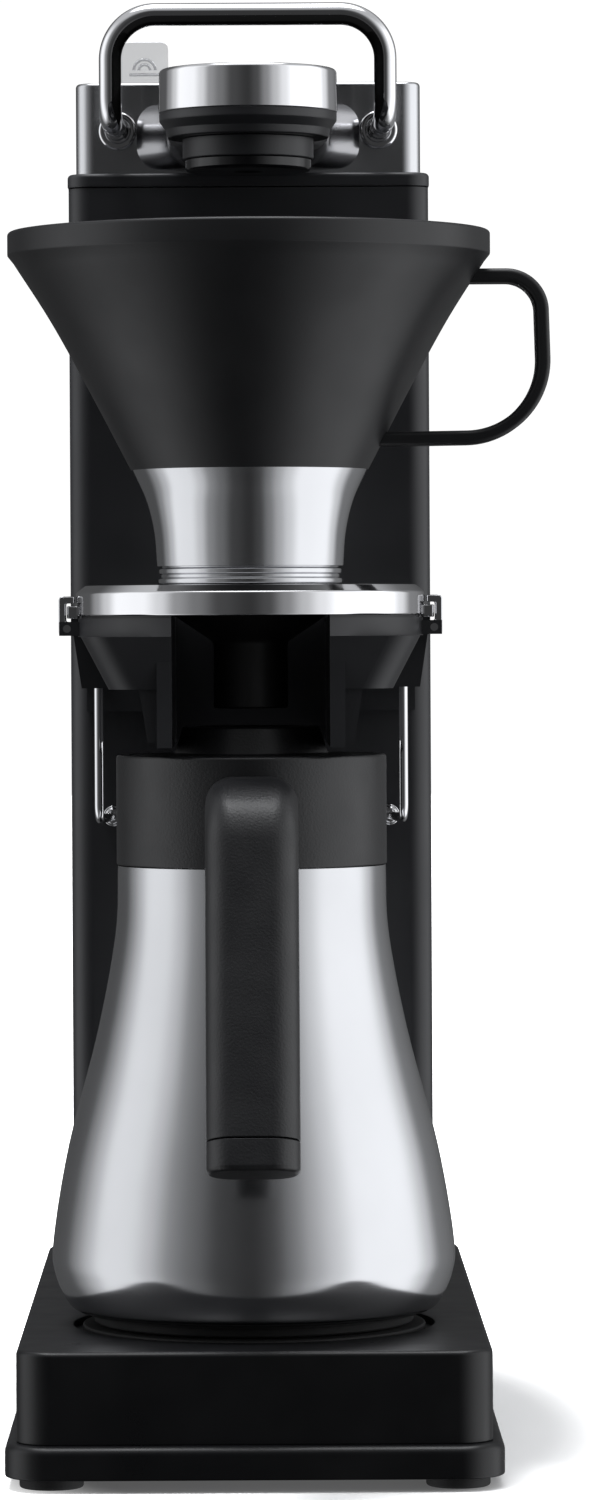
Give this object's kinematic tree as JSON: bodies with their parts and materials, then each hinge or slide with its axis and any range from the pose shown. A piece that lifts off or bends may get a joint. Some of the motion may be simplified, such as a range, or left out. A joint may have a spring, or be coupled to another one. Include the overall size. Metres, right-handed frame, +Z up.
{
  "type": "coffee brewer",
  "caption": "Slim tower drip coffee brewer with dripper on a chrome ring, steel carafe, nozzle head, carry handle and rear water tank.",
  "frame": {"origin": "on the table, at the middle of the overall footprint with both handles and the rear gland counted", "axes": "+Z up, -Y the brewer's front where the carafe's handle points, +X the side of the dripper's handle and the controls"},
  "size_m": [0.1392, 0.2969, 0.379],
  "materials": {
    "base_plastic": "black fine-textured satin plastic",
    "column_plastic": "black satin plastic, very fine grain",
    "dripper_plastic": "black soft-sheen plastic",
    "grip_plastic": "black plastic with a fine leather-like grain",
    "inner_plastic": "dark grey moulded plastic",
    "gloss_black": "gloss black plastic",
    "rubber": "black rubber",
    "chrome": "polished chrome",
    "stainless": "satin stainless steel",
    "stainless_polished": "polished stainless steel",
    "screw_steel": "zinc-plated steel",
    "frame_steel": "galvanised sheet steel",
    "clear_plastic": "clear moulded plastic",
    "silicone": "translucent silicone",
    "circuit": "green circuit board",
    "lamp": "amber indicator lens"
  },
  "bodies": {
    "root": {"base_plate": "base_plastic", "base_housing": "base_plastic", "base_feet": "rubber", "base_screws": "screw_steel", "rest_pad": "rubber", "cord_gland": "rubber", "power_board": "circuit", "column_shell": "column_plastic", "column_back": "column_plastic", "column_cap": "column_plastic", "column_frame": "frame_steel", "back_screws": "screw_steel", "pump": "inner_plastic", "heater": "frame_steel", "thermostat": "inner_plastic", "hose_supply": "silicone", "hose_link": "silicone", "hose_riser": "silicone", "control_board": "circuit", "control_bezel": "gloss_black", "indicator_lenses": "lamp", "hood_shell": "stainless", "carry_handle": "chrome", "handle_flanges": "chrome", "handle_nuts": "screw_steel", "nozzle_arm": "stainless_polished", "nozzle_cap": "chrome", "nozzle_collar": "column_plastic", "nozzle_barrel": "column_plastic", "nozzle_tip": "gloss_black", "holder_ring": "chrome", "holder_cradle": "column_plastic", "drip_funnel": "inner_plastic", "clasp_pins": "chrome", "stay_rods": "chrome", "stay_ferrules": "chrome", "tank_dock": "column_plastic"},
    "carafe": {"carafe_shell": "stainless", "carafe_liner": "stainless", "carafe_foot": "rubber", "carafe_collar": "grip_plastic", "carafe_handle": "grip_plastic", "carafe_handle_cap": "grip_plastic"},
    "carafe_lid": {"carafe_lid": "grip_plastic", "carafe_lid_knob": "grip_plastic", "carafe_lid_seal": "silicone"},
    "dripper": {"dripper_cone": "dripper_plastic", "dripper_handle": "dripper_plastic", "dripper_collar": "stainless_polished", "dripper_base_ring": "stainless_polished"},
    "tank": {"tank_body": "clear_plastic", "tank_valve": "inner_plastic", "tank_lid_pin": "screw_steel"},
    "tank_lid": {"tank_lid": "clear_plastic"},
    "start_button": {"start_button": "gloss_black"},
    "mode_button": {"mode_button": "gloss_black"},
    "cup_button": {"cup_button": "gloss_black"},
    "clasp_left": {"clasp_left": "chrome"},
    "clasp_right": {"clasp_right": "chrome"}
  },
  "joints": [
    {"name": "carafe_slide", "type": "slide", "parent": "root", "child": "carafe", "axis": [0, -1, 0], "range_m": [0, 0.15]},
    {"name": "carafe_lid_twist", "type": "hinge", "parent": "carafe", "child": "carafe_lid", "pos_m": [-0.0079, -0.06038, 0.18], "axis": [0, 0, 1], "range_deg": [0, 60]},
    {"name": "dripper_lift", "type": "slide", "parent": "root", "child": "dripper", "axis": [0, 0, 1], "range_m": [0, 0.018]},
    {"name": "tank_lift", "type": "slide", "parent": "root", "child": "tank", "axis": [0, 0, 1], "range_m": [0, 0.3]},
    {"name": "tank_lid_hinge", "type": "hinge", "parent": "tank", "child": "tank_lid", "pos_m": [-0.0079, 0.13042, 0.3503], "axis": [-1, 0, 0], "range_deg": [0, 100]},
    {"name": "start_button_press", "type": "slide", "parent": "root", "child": "start_button", "axis": [-1, 0, 0], "range_m": [0, 0.0012], "stiffness_N_per_m": 400},
    {"name": "mode_button_press", "type": "slide", "parent": "root", "child": "mode_button", "axis": [-1, 0, 0], "range_m": [0, 0.0012], "stiffness_N_per_m": 400},
    {"name": "cup_button_press", "type": "slide", "parent": "root", "child": "cup_button", "axis": [-1, 0, 0], "range_m": [0, 0.0012], "stiffness_N_per_m": 400},
    {"name": "clasp_left_turn", "type": "hinge", "parent": "root", "child": "clasp_left", "pos_m": [-0.0549, -0.06038, 0.2128], "axis": [0, -1, 0], "range_deg": [0, 60]},
    {"name": "clasp_right_turn", "type": "hinge", "parent": "root", "child": "clasp_right", "pos_m": [0.0391, -0.06038, 0.2128], "axis": [0, 1, 0], "range_deg": [0, 60]}
  ]
}
